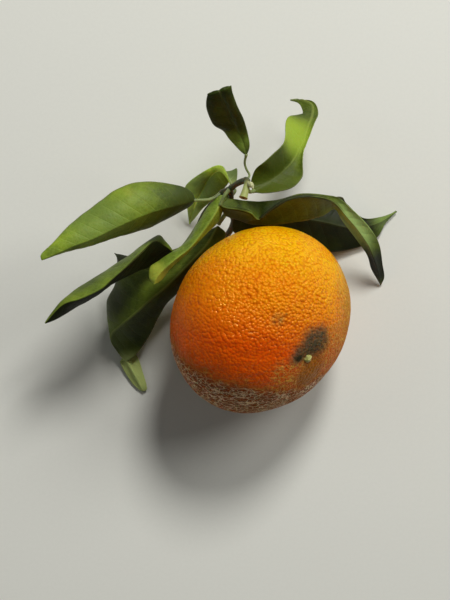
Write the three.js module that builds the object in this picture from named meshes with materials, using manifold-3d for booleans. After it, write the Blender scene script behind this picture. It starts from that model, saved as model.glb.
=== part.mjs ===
// A mandarin on its cut twig with nine leaves, lying on the small flat spot of its peel.
// Millimetres, +Z up. The origin is the middle of the flat spot, on the surface the fruit lies on.
import * as THREE from 'three';
import { mergeVertices } from 'three/addons/utils/BufferGeometryUtils.js';
import Module from 'manifold-3d';

const wasm = await Module();
wasm.setup();

// ---- driving dimensions ----
const FRUIT_EQUATOR_R = 32; // peel radius round the blossom axis
const FRUIT_POLE_R = 25.8; // half height along the blossom axis
const FRUIT_CENTRE = new THREE.Vector3(-4.7, 3.6, 28.9);
const BLOSSOM_AXIS = new THREE.Vector3(0.622, -0.47, 0.627).normalize(); // stem end to blossom end
const BLOSSOM_DIMPLE = { depth: 1.2, radius: 4 };
const STEM_DIMPLE = { depth: 1.8, radius: 6 };
const NUB_R = 1.1; // dried style at the blossom end
const CALYX_R = 3.6; // button at the stem end
const CALYX_LOBE = 0.6;
const CALYX_LOBES = 5;
const CALYX_THICK = 1;
const CALYX_STAND = 0.9; // how far its top face stands off the dimple
const CALYX_POINTS = 30;
const GAP = 0.3; // clear space between two touching pieces

const BLADE_MARGIN_THICK = 0.45;
const BLADE_RIB_THICK = 0.9;
const BLADE_STATIONS = 18;
const BLADE_STEPS = 3; // strips across each half of a blade
const BLADE_SETBACK = 0.6; // from the end of the petiole to the blade
const BLADE_TIP_SETBACK = 0.3;

const STEM_SIDES = 8;
const PEEL_SIDES = 48; // facets round the blossom axis
const PEEL_STEPS = 26; // and from pole to pole
const BELOW_DEPTH = 20; // of the block that cuts the flat spot

// ---- routes, chosen by hand ----
// The twig runs from its cut end down to the left leaf.
const TWIG = {
  route: [
    [-10.5, 42.5, 48], [-9.5, 46, 47], [-9.5, 48, 45], [-12, 47.5, 42], [-14.5, 46, 39],
    [-17.5, 44.5, 36], [-20, 42, 33.5], [-23, 38.5, 31], [-25, 34.5, 29],
  ],
  radii: [1.4, 1, 1, 0.9, 0.9, 0.85, 0.8, 0.8, 0.75],
  segments: 22,
};
// The fruit's stalk leaves the twig, passes down behind the fruit and comes up to its stem end.
const FRUIT_STALK = {
  route: [
    [-14.5, 46, 38.5], [-14.5, 43, 31], [-14.5, 39.5, 25], [-13.5, 36, 18], [-16, 31.5, 11],
    [-22, 28, 6.5], [-27.5, 23, 5], [-26, 19.5, 8], [-22.4, 17, 11],
  ],
  radii: [0.9, 0.95, 1, 1.1, 1.2],
  segments: 22,
};
const PETIOLES = {
  petiole_upper_left: { route: [[-17.5, 44.5, 36], [-21, 42.5, 38], [-25.5, 42, 40]], radii: [0.7, 0.5, 0.6] },
  petiole_left: { route: [[-25.2, 33.9, 28.9], [-28.5, 29.5, 29], [-32, 25.5, 29]], radii: [0.7, 0.6, 0.6] },
  petiole_narrow: { route: [[-16, 45, 37], [-16, 43, 34.5], [-17.5, 40.5, 33]], radii: [0.6, 0.5, 0.5] },
  petiole_lower_left: {
    route: [[-14.5, 39.5, 25], [-16, 38.5, 26.3], [-18.2, 35.3, 26.8]],
    radii: [0.8, 0.8, 0.7],
  },
  petiole_behind_twig: { route: [[-14.5, 43.5, 32.5], [-13, 45.5, 32], [-14, 46.5, 30.5]], radii: [0.5, 0.45, 0.5] },
  petiole_top: {
    route: [[-9.5, 48, 45], [-8.5, 50, 41.5], [-9.5, 52, 41.5], [-10, 54, 42.5], [-9.5, 56, 44]],
    radii: [0.5, 0.4, 0.4, 0.4, 0.45],
  },
  petiole_top_right: { route: [[-9.5, 46, 47], [-8.5, 44.5, 45], [-7.5, 44.5, 43]], radii: [0.7, 0.6, 0.6] },
  petiole_right: { route: [[-14.5, 46, 39], [-16.5, 43.5, 39.5], [-18, 41, 39]], radii: [0.7, 0.6, 0.6] },
  petiole_far_right: { route: [[-14.5, 39.5, 25], [-13.4, 39.3, 24.8], [-12.2, 39.1, 24.3]], radii: [0.7, 0.6, 0.6] },
};
const BUD = { route: [[-8.6, 47.4, 48.4], [-7.8, 46.2, 49], [-7.4, 45.4, 49.2]], radii: [0.5, 0.7, 0.25] };

// Each blade is spanned between three curves from its base to its tip: the midrib, and the
// margins to its far and near side. puff is how far each half bulges off the straight line.
const BLADES = [
  {
    name: 'leaf_upper_left',
    rib: [
      [-26, 42, 40], [-32, 40, 46], [-40, 37.5, 51], [-49, 33.5, 54], [-57, 29.5, 55.5],
      [-64.5, 26.5, 56.5], [-73.5, 22.5, 56],
    ],
    far: [
      [-27, 44.5, 42], [-31, 46.5, 45], [-39.5, 47.5, 48], [-47, 46.5, 50], [-55.5, 41, 51],
      [-63.5, 35, 53], [-69.5, 28.5, 55], [-73.5, 24.5, 56],
    ],
    near: [
      [-28.5, 40, 35], [-37, 35.5, 38], [-46.5, 31.5, 42], [-56, 28.5, 47], [-65, 26, 52],
    ],
    puff: [1.6, 1.2],
  },
  {
    name: 'leaf_left',
    rib: [
      [-32.5, 25, 29], [-35.5, 27.5, 34], [-39, 29, 39], [-43.5, 25, 43], [-48, 20.5, 44],
      [-52.5, 16.5, 44], [-56, 13.5, 43], [-62.5, 10.5, 41], [-68.5, 8.5, 38.5],
      [-74.5, 2.5, 36],
    ],
    far: [
      [-35.5, 29, 34], [-38, 31, 36], [-43, 27.5, 36], [-47, 24.5, 36], [-52.5, 21.5, 35.5],
      [-58.5, 17.5, 35.5], [-65, 13, 36], [-69.5, 9, 37],
    ],
    near: [
      [-34.5, 24, 26.5], [-40.5, 21, 26], [-45.5, 19, 28], [-50.5, 16.5, 32], [-55.5, 14, 36],
      [-60, 10.5, 35.5], [-65, 7.5, 35], [-70, 4.5, 35.5],
    ],
    puff: [0.6, 0.8],
  },
  {
    name: 'leaf_narrow',
    rib: [
      [-17.5, 40.5, 33], [-20, 36.5, 37], [-23.5, 32, 39], [-27.5, 27, 39], [-32.5, 23, 38.5],
      [-36.5, 19.5, 37.8], [-38.5, 17, 37], [-39.2, 15.2, 36],
    ],
    far: [
      [-22, 39, 34.5], [-25.5, 34, 34], [-28.5, 29.5, 34], [-32, 27, 34], [-37.5, 23, 34.5],
      [-40.5, 20.8, 35.5], [-40.8, 17.5, 35.5],
    ],
    near: [
      [-18.5, 36.5, 31], [-22, 31.5, 32], [-25.5, 27.5, 31], [-30, 23, 32], [-34, 20, 33.5],
      [-36.8, 16.5, 34.5],
    ],
    puff: [0.6, 0.4],
  },
  {
    name: 'leaf_lower_left',
    rib: [
      [-18.5, 34.5, 26.5], [-22.5, 28, 25.5], [-29, 21, 25], [-35.5, 14.5, 25], [-41, 10, 24],
      [-45.5, 6, 21.5], [-50.5, 2, 17], [-54.5, -1.5, 9.5], [-54.5, -5, 5], [-50.5, -9.5, 3.6],
      [-47.3, -15, 3.2], [-44.2, -21.2, 1],
    ],
    far: [
      [-23.5, 32, 23.5], [-32, 27, 20], [-43, 24.5, 18], [-52, 25.5, 16], [-53.2, 25.8, 16],
      [-52.2, 22.8, 15.5], [-53, 15.5, 14], [-56, 9.5, 11], [-55.5, 3.5, 6], [-51, -3, 2],
      [-46.5, -9, 1.5], [-44.5, -14.5, 1], [-43, -20, 0.9],
    ],
    near: [
      [-17.3, 31, 22.5], [-20.5, 25.8, 19], [-25, 21.5, 18], [-30.5, 14, 15], [-35.5, 9, 13],
      [-39, 3.5, 11], [-42, -2, 9], [-46, -8, 7], [-49.5, -10.5, 4.5], [-52, -11.5, 2],
      [-48.4, -17.8, 1], [-45.2, -20.8, 0.9],
    ],
    puff: [0.9, 0.9],
  },
  {
    name: 'leaf_behind_twig',
    rib: [
      [-14, 46.5, 30], [-15.5, 50, 26], [-18.5, 53, 21], [-21.5, 51, 16], [-23.5, 47.5, 12],
      [-26, 43, 8], [-28.5, 36, 0.5],
    ],
    far: [
      [-16, 52, 28], [-18.5, 54.5, 24], [-24, 52.5, 18], [-29.5, 48.5, 12], [-29.5, 44, 8],
      [-29, 40, 5],
    ],
    near: [
      [-12.5, 49.5, 26], [-12.5, 53.5, 23], [-15, 49.5, 17], [-19, 45.5, 12], [-23.5, 41.5, 7],
      [-26.5, 38, 4],
    ],
    puff: [0.8, 0.8],
  },
  {
    name: 'leaf_top',
    rib: [
      [-9.5, 56, 44], [-10.5, 60, 46], [-12, 63, 49], [-14.5, 67.5, 57], [-17, 72, 65],
      [-18, 74, 68], [-17.5, 72, 64.5], [-16, 68.5, 58],
    ],
    far: [
      [-12, 58, 45], [-15, 61, 46.5], [-17, 63.5, 49], [-20, 65.5, 54], [-22, 69.5, 61],
      [-21.5, 73, 66.5], [-19.5, 72, 64],
    ],
    near: [
      [-8.5, 59, 45.5], [-9, 62.5, 48], [-10.5, 66.5, 55], [-12.5, 70, 62], [-14, 73.5, 67],
      [-14.5, 75.5, 68.5], [-15.5, 72.5, 64],
    ],
    puff: [-0.6, -0.6],
  },
  {
    name: 'leaf_top_right',
    rib: [
      [-7.5, 44.5, 43], [-3.5, 47, 41], [0.5, 50, 39], [5, 54.5, 36], [7.5, 58.5, 33],
      [9.5, 62, 30], [11, 67, 26.5], [12.5, 71, 22], [12.5, 75, 18], [9, 77, 15.5],
      [5.5, 77, 14],
    ],
    far: [
      [-8, 48, 42.5], [-6.5, 51.5, 45], [-3.5, 54, 46.5], [0.5, 58, 43.5], [2.5, 61, 39],
      [3, 65.5, 33], [4, 69.5, 28], [7, 71, 23], [9.5, 72, 19], [8.5, 75.5, 16],
    ],
    near: [
      [-4, 44, 44], [1, 44.5, 43], [5.5, 46, 41], [8.5, 49.5, 39], [9, 53.5, 37], [9.5, 58, 34],
      [11, 62.5, 30], [13, 68, 25.5], [14.5, 72.5, 20.5], [12.5, 76.5, 17],
    ],
    puff: [0.5, 0.5],
  },
  {
    name: 'leaf_right',
    rib: [
      [-18, 40.5, 39], [-15.5, 39.5, 39.5], [-11.5, 39, 40], [-8, 38, 38], [-5.5, 36, 36],
      [-3, 38, 37], [0.5, 40.5, 39], [4, 42.5, 40], [9.5, 43.5, 40], [15.5, 43, 37],
      [19.5, 41.5, 32], [23.5, 37.5, 26.5], [27.5, 33.5, 21], [31.5, 28.5, 15.5],
      [33.5, 24.5, 12], [35.5, 20, 6.5], [37, 15, 0.5],
    ],
    far: [
      [-15, 42.5, 37.5], [-10, 42, 36], [-4.5, 42, 33], [1, 42.5, 34], [5.5, 43.5, 36],
      [10.5, 44, 37], [15.5, 44, 35], [20.5, 43.5, 31], [25.5, 40, 26], [30.5, 35.5, 20],
      [34, 31.5, 15], [36, 27.5, 11], [37, 22.5, 7], [38, 18, 3],
    ],
    near: [
      [-16, 37.5, 31], [-11.5, 36, 29], [-7, 35, 28], [-1.5, 35, 28], [4.5, 35.5, 28],
      [10, 36, 28], [15.5, 38, 28], [19.5, 40, 28], [22, 36.5, 24.5], [26, 32, 18.5],
      [29.5, 28, 13.5], [32, 24.5, 9.5], [33.5, 20.5, 5],
    ],
    puff: [0.6, 0.6],
  },
  {
    name: 'leaf_far_right',
    rib: [
      [-12.2, 39.1, 24.2], [-9, 38.5, 22], [-5.5, 38, 20], [3.5, 38, 17], [15.5, 36.5, 13],
      [26, 34.5, 9], [35, 36, 5], [42.5, 40.5, 1],
    ],
    far: [
      [-10.5, 41, 23.5], [-8, 41.5, 20.5], [-1.5, 41.5, 17], [10.5, 41.5, 13], [22, 45, 9],
      [25, 42.5, 8], [30.5, 38, 6], [37, 38.5, 3],
    ],
    near: [
      [-12, 36.5, 22], [-11.5, 33, 19.5], [-9, 31.5, 17.5], [-6, 32, 15.5], [-0.5, 32, 13],
      [9, 27.5, 8], [20.5, 26.5, 4], [29, 28, 2.5], [35.5, 31.5, 2], [38.5, 36.5, 1.5],
    ],
    puff: [0.8, 0.6],
  },
];

// ---- shapes ----
function smoothCurve(points) {
  const vectors = points.map((p) => new THREE.Vector3(...p));
  return new THREE.CatmullRomCurve3(vectors, false, 'catmullrom', 0.5);
}

// Skins a row of equal rings of points and closes both ends with a fan.
function loft(rings) {
  const count = rings[0].length;
  const positions = rings.flat().flatMap((p) => [p.x, p.y, p.z]);
  const index = [];
  for (let i = 0; i < rings.length - 1; i++) {
    for (let j = 0; j < count; j++) {
      const k = (j + 1) % count;
      const a = i * count + j;
      const b = i * count + k;
      index.push(a, b, b + count, a, b + count, a + count);
    }
  }
  for (const [ring, first, turn] of [[0, 0, 1], [rings.length - 1, (rings.length - 1) * count, -1]]) {
    const middle = new THREE.Vector3();
    rings[ring].forEach((p) => middle.addScaledVector(p, 1 / count));
    const centre = positions.length / 3;
    positions.push(middle.x, middle.y, middle.z);
    for (let j = 0; j < count; j++) {
      const here = first + j;
      const next = first + ((j + 1) % count);
      index.push(centre, turn > 0 ? next : here, turn > 0 ? here : next);
    }
  }
  const geometry = new THREE.BufferGeometry();
  geometry.setAttribute('position', new THREE.Float32BufferAttribute(positions, 3));
  geometry.setIndex(index);
  return geometry;
}

function radiusAt(radii, share) {
  const place = share * (radii.length - 1);
  const i = Math.min(Math.floor(place), radii.length - 2);
  return THREE.MathUtils.lerp(radii[i], radii[i + 1], place - i);
}

// A round stem whose radius changes along its route.
function stem({ route, radii, segments = 10 }, extra = 0) {
  const curve = smoothCurve(route);
  const frames = curve.computeFrenetFrames(segments, false);
  const rings = [];
  for (let i = 0; i <= segments; i++) {
    const centre = curve.getPointAt(i / segments);
    const radius = radiusAt(radii, i / segments) + extra;
    const ring = [];
    for (let j = 0; j < STEM_SIDES; j++) {
      const angle = (2 * Math.PI * j) / STEM_SIDES;
      const point = centre.clone();
      point.addScaledVector(frames.normals[i], radius * Math.cos(angle));
      point.addScaledVector(frames.binormals[i], radius * Math.sin(angle));
      ring.push(point);
    }
    rings.push(ring);
  }
  return loft(rings);
}

// One half of a blade at one station: points from the midrib out to the margin, bulged by puff.
function halfSection(rib, margin, along, puff, side) {
  const across = margin.clone().sub(rib);
  const out = across.clone().cross(along).multiplyScalar(side).normalize();
  const points = [];
  for (let k = 0; k <= BLADE_STEPS; k++) {
    const share = k / BLADE_STEPS;
    const point = rib.clone().addScaledVector(across, share);
    points.push(point.addScaledVector(out, puff * 4 * share * (1 - share)));
  }
  return points;
}

// The blade's middle surface as rows of points, from the far margin to the near one.
function bladeRows({ rib, far, near, puff }) {
  const base = rib[0];
  const tip = rib[rib.length - 1];
  const midrib = smoothCurve(rib);
  const farMargin = smoothCurve([base, ...far, tip]);
  const nearMargin = smoothCurve([base, ...near, tip]);
  const length = midrib.getLength();
  const start = BLADE_SETBACK / length;
  const end = 1 - BLADE_TIP_SETBACK / length;
  const rows = [];
  for (let i = 0; i <= BLADE_STATIONS; i++) {
    const share = THREE.MathUtils.lerp(start, end, i / BLADE_STATIONS);
    const fade = Math.sin(Math.PI * share);
    const middle = midrib.getPointAt(share);
    const along = midrib.getTangentAt(share);
    const farHalf = halfSection(middle, farMargin.getPointAt(share), along, puff[0] * fade, 1);
    const nearHalf = halfSection(middle, nearMargin.getPointAt(share), along, puff[1] * fade, -1);
    rows.push([...farHalf.reverse(), ...nearHalf.slice(1)]);
  }
  return rows;
}

// Gives the middle surface its thickness: thickest at the midrib, thinner at the margins.
function blade(leaf) {
  const rows = bladeRows(leaf);
  const width = rows[0].length;
  const rings = rows.map((row, i) => {
    const before = rows[Math.max(i - 1, 0)];
    const after = rows[Math.min(i + 1, rows.length - 1)];
    const top = [];
    const under = [];
    for (let j = 0; j < width; j++) {
      const along = after[j].clone().sub(before[j]);
      const across = row[Math.min(j + 1, width - 1)].clone().sub(row[Math.max(j - 1, 0)]);
      const normal = along.cross(across).normalize();
      const nearRib = 1 - Math.abs(j - BLADE_STEPS) / BLADE_STEPS;
      const half = THREE.MathUtils.lerp(BLADE_MARGIN_THICK, BLADE_RIB_THICK, nearRib ** 3) / 2;
      top.push(row[j].clone().addScaledVector(normal, half));
      under.unshift(row[j].clone().addScaledVector(normal, -half));
    }
    return [...top, ...under].reverse();
  });
  return loft(rings);
}

// Peel radius round the axis and height along it, with a shallow dimple at each end.
function fruitProfile() {
  const profile = [];
  for (let i = 0; i <= PEEL_STEPS; i++) {
    const angle = (Math.PI * i) / PEEL_STEPS - Math.PI / 2;
    const radius = i === 0 || i === PEEL_STEPS ? 0 : FRUIT_EQUATOR_R * Math.cos(angle);
    const end = angle > 0 ? BLOSSOM_DIMPLE : STEM_DIMPLE;
    const dip = end.depth * Math.exp(-((radius / end.radius) ** 2)) * Math.sign(angle);
    profile.push(new THREE.Vector2(radius, FRUIT_POLE_R * Math.sin(angle) - dip));
  }
  return profile;
}

function calyxOutline() {
  const outline = new THREE.Shape();
  for (let i = 0; i < CALYX_POINTS; i++) {
    const angle = (2 * Math.PI * i) / CALYX_POINTS;
    const radius = CALYX_R + CALYX_LOBE * Math.cos(CALYX_LOBES * angle);
    const x = radius * Math.cos(angle);
    const y = radius * Math.sin(angle);
    i === 0 ? outline.moveTo(x, y) : outline.lineTo(x, y);
  }
  return outline;
}

// ---- joining and cutting ----
function toSolid(geometry) {
  const bare = geometry.clone();
  bare.deleteAttribute('normal');
  bare.deleteAttribute('uv');
  const merged = mergeVertices(bare, 1e-5);
  const vertProperties = new Float32Array(merged.attributes.position.array);
  const triVerts = new Uint32Array(merged.index.array);
  return new wasm.Manifold(new wasm.Mesh({ numProp: 3, vertProperties, triVerts }));
}

function toGeometry(solid) {
  const { vertProperties, triVerts } = solid.getMesh();
  const geometry = new THREE.BufferGeometry();
  geometry.setAttribute('position', new THREE.Float32BufferAttribute(vertProperties, 3));
  geometry.setIndex([...triVerts]);
  return geometry;
}

function cut(geometry, ...cutters) {
  const solid = cutters.reduce((rest, cutter) => rest.subtract(toSolid(cutter)), toSolid(geometry));
  return toGeometry(solid);
}

// ---- pieces ----
function material(color, roughness) {
  return new THREE.MeshStandardMaterial({ color, roughness, metalness: 0 });
}

const PEEL = material(0xf08a10, 0.45);
const STYLE = material(0xa8a850, 0.6);
const BUTTON = material(0x6f8a48, 0.6);
const BARK = material(0x5c6a38, 0.6);
const BUD_SCALE = material(0xd8d8b0, 0.6);
const LEAF = material(0x5f8a2c, 0.4);
const LEAF_STALK = material(0x7f9a50, 0.5);

const mandarin = new THREE.Group();

function piece(name, geometry, look, parent = mandarin) {
  const mesh = new THREE.Mesh(geometry, look.clone());
  mesh.name = name;
  parent.add(mesh);
  return mesh;
}

// Turns a shape built round +Y onto the blossom axis, with its middle at the fruit's centre.
const axisTurn = new THREE.Quaternion().setFromUnitVectors(new THREE.Vector3(0, 1, 0), BLOSSOM_AXIS);
const axisFrame = new THREE.Group();
axisFrame.quaternion.copy(axisTurn);
axisFrame.position.copy(FRUIT_CENTRE);
mandarin.add(axisFrame);

// The peel, with the flat spot cut where the surface meets it.
function fruit() {
  const peel = new THREE.LatheGeometry(fruitProfile(), PEEL_SIDES);
  peel.applyQuaternion(axisTurn);
  peel.translate(...FRUIT_CENTRE);
  const below = new THREE.BoxGeometry(4 * FRUIT_EQUATOR_R, 4 * FRUIT_EQUATOR_R, BELOW_DEPTH);
  below.translate(0, 0, -BELOW_DEPTH / 2);
  return cut(peel, below);
}
piece('fruit', fruit(), PEEL);

// The dried style stands in the blossom end's dimple.
const nub = piece('blossom_nub', new THREE.SphereGeometry(NUB_R, 10, 8), STYLE, axisFrame);
nub.position.y = FRUIT_POLE_R - BLOSSOM_DIMPLE.depth + NUB_R + GAP;

// The calyx sits on the stem end's dimple, its lobes a little clear of the peel.
const button = new THREE.ExtrudeGeometry(calyxOutline(), { depth: CALYX_THICK, bevelEnabled: false });
const calyx = piece('calyx', button, BUTTON, axisFrame);
calyx.rotation.x = Math.PI / 2;
calyx.position.y = -FRUIT_POLE_R + STEM_DIMPLE.depth - GAP - CALYX_STAND;

piece('twig', stem(TWIG), BARK);
piece('fruit_stalk', cut(stem(FRUIT_STALK), stem(TWIG, GAP)), BARK);
piece('bud', stem(BUD), BUD_SCALE);

// Petioles start inside the twig or the stalk and are cut back to its surface.
for (const [name, petiole] of Object.entries(PETIOLES)) {
  piece(name, cut(stem(petiole), stem(TWIG, GAP), stem(FRUIT_STALK, GAP)), LEAF_STALK);
}

for (const leaf of BLADES) {
  piece(leaf.name, blade(leaf), LEAF);
}

export default mandarin;
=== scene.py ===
"""A ripe mandarin on its cut twig with nine leaves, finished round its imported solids."""

import math

import bpy
import mathutils
import numpy as np
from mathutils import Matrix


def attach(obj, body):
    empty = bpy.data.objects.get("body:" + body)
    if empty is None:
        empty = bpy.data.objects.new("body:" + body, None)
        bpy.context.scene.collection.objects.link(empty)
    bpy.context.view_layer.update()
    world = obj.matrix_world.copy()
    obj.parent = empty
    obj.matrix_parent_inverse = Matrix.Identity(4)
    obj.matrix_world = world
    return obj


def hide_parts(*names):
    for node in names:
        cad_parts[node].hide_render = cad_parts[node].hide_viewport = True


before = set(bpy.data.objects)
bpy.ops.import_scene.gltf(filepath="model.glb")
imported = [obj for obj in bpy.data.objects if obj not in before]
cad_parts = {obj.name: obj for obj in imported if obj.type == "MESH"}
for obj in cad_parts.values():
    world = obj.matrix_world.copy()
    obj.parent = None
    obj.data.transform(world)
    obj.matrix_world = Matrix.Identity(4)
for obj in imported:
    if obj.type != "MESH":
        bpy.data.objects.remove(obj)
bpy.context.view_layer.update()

bl_info = {
    "name": "Mandarin with leaves",
    "version": (1, 0, 0),
    "blender": (4, 5, 0),
    "location": "View3D > Sidebar > Mandarin",
    "description": "Builds a mandarin with its twig, leaves and a plain stage",
    "category": "Object",
}

MM = 0.001
ROOT = "root"

# ---- the fruit, placed as its solid is; every length is in millimetres ----
FRUIT_CENTRE = np.array([-4.7, 3.6, 28.9])
BLOSSOM_AXIS = np.array([0.622, -0.47, 0.627])
BLOSSOM_AXIS = BLOSSOM_AXIS / np.linalg.norm(BLOSSOM_AXIS)
BLOSSOM_DIMPLE = (1.2, 4.0)  # depth and radius
STEM_DIMPLE = (1.8, 6.0)
# Painted light: the peel is painted yellowest towards the key lamp's side.
LIT_SIDE = (0.20, 0.95, 0.0)  # the peel is yellowest towards it
STYLE_RADIUS = 1.2
STYLE_HEIGHT = 25.0  # from the fruit's centre along the blossom axis
STYLE_LEAN = (-0.9, -0.3, 0.35)
BUTTON_RADIUS = 3.6
BUTTON_HEIGHT = -25.35
LOBE = 0.6

# The net of scars: the way that each stretch faces, how far it stays from the point that it faces,
# the two ends of its ragged edge, and the share of the net and of the dull skin in it.
SCARRED = (
    ((-0.29, -0.81, -0.51), 0.20, (-0.10, 0.22), 1.0, 1.0),
    ((0.59, -0.79, -0.20), 0.36, (-0.08, 0.26), 1.0, 0.42),
    ((0.95, 0.05, -0.30), 0.66, (-0.06, 0.24), 0.8, 0.55),
)

# Single marks on the peel: centre, radius, and the soft edge outside it.
PEEL_MARKS = {
    "fresh": ((11.5, -13.6, 40.8), 3.5, 5.5),
    "folded": ((-14, -9, 54), 9, 10),
    "pebbled": ((1, 16, 54), 9, 17),
    "smudge": ((12.6, -3.6, 46.6), 2.4, 7.0),
    "smudge_tail": ((7.2, -7.4, 48.9), 0.8, 5.0),
    "halo": ((11.0, -5.5, 47.0), 3.0, 7.5),
    "spot": ((7.4, -8.6, 48.2), 0.7, 1.6),
    "speck": ((3.0, 5.7, 55.9), 0.1, 0.8),
    "stain": ((0.3, 4.0, 56.7), 0.8, 2.4),
    "bruise": ((10.5, -14.2, 40.6), 2.0, 3.6),
}

# ---- the stage (metres and degrees) ----
# Each lamp's bearing from +Y towards +X, its rise above the floor, and its diameter.
LAMPS = {"key": (15.5, 46.0, 0.34), "side": (55.0, 42.0, 0.62), "fill": (-72.0, 40.0, 0.60)}
LAMP_DISTANCE = 1.3
LAMP_TARGET = (0.0, 0.0, 0.02)
CAMERA_PLACE = (-0.0163, 0.0101)
FLOOR_HALF = 3.0

# ---- stems: each is a route and the radii along it ----
TWIG = (
    [
        (-10.5, 42.5, 48), (-9.5, 46, 47), (-9.5, 48, 45), (-12, 47.5, 42), (-14.5, 46, 39),
        (-17.5, 44.5, 36), (-20, 42, 33.5), (-23, 38.5, 31), (-25, 34.5, 29),
    ],
    [1.25, 1.0, 1.0, 0.9, 0.9, 0.85, 0.8, 0.8, 0.75],
)
FRUIT_STALK = (
    [
        (-14.5, 46, 38.5), (-14.5, 43, 31), (-14.5, 39.5, 25), (-13.5, 36, 18), (-16, 31.5, 11),
        (-22, 28, 6.5), (-27.5, 23, 5), (-26, 19.5, 8), (-22.4, 17, 11),
    ],
    [0.9, 0.95, 1.0, 1.1, 1.2],
)
BUD = ([(-8.9, 47.2, 47.6), (-7.9, 46.2, 48.8), (-7.4, 45.3, 49.3)], [0.5, 0.85, 0.15])
PETIOLES = {
    "petiole_upper_left": ([(-17.5, 44.5, 36), (-21, 42.5, 38), (-26.2, 42, 40.2)], [0.7, 0.5, 0.5]),
    "petiole_left": ([(-25, 34.5, 29), (-28.5, 29.5, 29), (-32.3, 25, 29.2)], [0.75, 0.6, 0.5]),
    "petiole_narrow": ([(-16, 45, 37), (-15.9, 44.2, 35.9), (-15.5, 43.4, 35.1)], [0.6, 0.55, 0.5]),
    "petiole_lower_left": ([(-14.5, 39.5, 25), (-16, 38.5, 26.3), (-18.4, 34.9, 26.7)], [0.8, 0.75, 0.6]),
    "petiole_behind_twig": ([(-14.5, 43.5, 32.5), (-13, 45.5, 32), (-13.9, 46.8, 30)], [0.5, 0.45, 0.45]),
    "petiole_top": (
        [(-9.5, 48, 45), (-8.5, 50, 41.5), (-9.5, 52, 41.5), (-10, 54, 42.5), (-9.5, 56.4, 44.2)],
        [0.5, 0.36, 0.36, 0.38, 0.42],
    ),
    "petiole_top_right": ([(-9.5, 46, 47), (-8.5, 44.5, 45), (-7, 44.9, 43)], [0.7, 0.6, 0.55]),
    "petiole_right": ([(-14.5, 46, 39), (-16.5, 43.5, 39.5), (-17.8, 40.6, 39)], [0.7, 0.6, 0.55]),
    "petiole_far_right": ([(-14.5, 39.5, 25), (-13.4, 39.3, 24.8), (-12.1, 39.1, 24.2)], [0.7, 0.6, 0.5]),
}

# Each blade is spanned between three curves from base to tip: the midrib and, seen from the
# upper side with the tip ahead, the right and left margins. puff is how far each half bulges, and
# rib_rise how far the midrib stands up, -0.1 if not given. seed sets the waves of the margins.
# shade scales the greens, and under_shade those beneath, partly as a leaf's own tone and partly as
# painted light and shade; ends scales them at the base and the tip, and sides on the right and left
# half, as painted light and shade. rib_pale is how pale the midrib is. Each stain has a centre, a
# radius, a colour and a strength; most are painted light or shade, a few are real spots.
BLADES = {}
BLADES["leaf_upper_left"] = {
    "rib": [
        (-26, 42, 40), (-32, 40, 46), (-40, 37.5, 51), (-49, 33.5, 54), (-57, 29.5, 55.5),
        (-64.5, 26.5, 56.5), (-73.5, 22.5, 56),
    ],
    "right": [
        (-27, 44.5, 42), (-31, 46.5, 45), (-39.5, 47.5, 48), (-47, 46.5, 50), (-55.5, 41, 51),
        (-63.5, 35, 53), (-69.5, 28.5, 55), (-73.5, 24.5, 56),
    ],
    "left": [
        (-28.5, 40, 35), (-37, 35.5, 38), (-46.5, 31.5, 42), (-56, 28.5, 47), (-65, 26, 52),
    ],
    # Painted shade: ends darkens the base. shade 2.1 is partly this leaf's lighter tone, partly painted
    # light.
    "puff": (1.6, 1.2), "seed": 11, "rib_rise": 0.0, "rib_pale": 0.0, "shade": 2.1, "ends": (0.6, 1.05),
    "painted_light_and_stains": [
        # A painted sheen over the middle, a real yellow spot and its halo, then painted shade at the base and
        # along the lower edge.
        ((-56, 35, 53.5), 9.0, (0.17, 0.25, 0.045), 0.60),
        ((-46.5, 43, 50), 2.8, (0.33, 0.35, 0.05), 0.60),
        ((-46.5, 43.2, 50), 1.2, (0.75, 0.28, 0.05), 0.85),
        ((-29.5, 42.5, 41), 9.0, (0.030, 0.045, 0.012), 0.80),
        ((-37, 36.5, 40), 5.0, (0.035, 0.045, 0.012), 0.60),
    ],
}
BLADES["leaf_left"] = {
    "rib": [
        (-32.5, 25, 29), (-35.5, 27.5, 34), (-39, 29, 39), (-43.5, 25, 43), (-48, 20.5, 44),
        (-52.5, 16.5, 44), (-56, 13.5, 43), (-62.5, 10.5, 41), (-68.5, 8.5, 38.5), (-74.5, 2.5, 36),
    ],
    "right": [
        (-35.5, 29, 34), (-38, 31, 36), (-43, 27.5, 36), (-47, 24.5, 36), (-52.5, 21.5, 35.5),
        (-58.5, 17.5, 35.5), (-65, 13, 36), (-69.5, 9, 37),
    ],
    "left": [
        (-34.5, 24, 26.5), (-40.5, 21, 26), (-45.5, 19, 28), (-50.5, 16.5, 32), (-55.5, 14, 36),
        (-60, 10.5, 35.5), (-65, 7.5, 35), (-70, 4.5, 35.5),
    ],
    # Painted light and shade: sides lights the right half and darkens the left; the stain is painted shade
    # near the base.
    "puff": (0.6, 0.8), "seed": 23, "rib_pale": 0.12, "sides": (1.6, 0.10),
    "painted_light_and_stains": [((-38.5, 30, 37), 5.0, (0.020, 0.025, 0.010), 0.85)],
}
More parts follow.
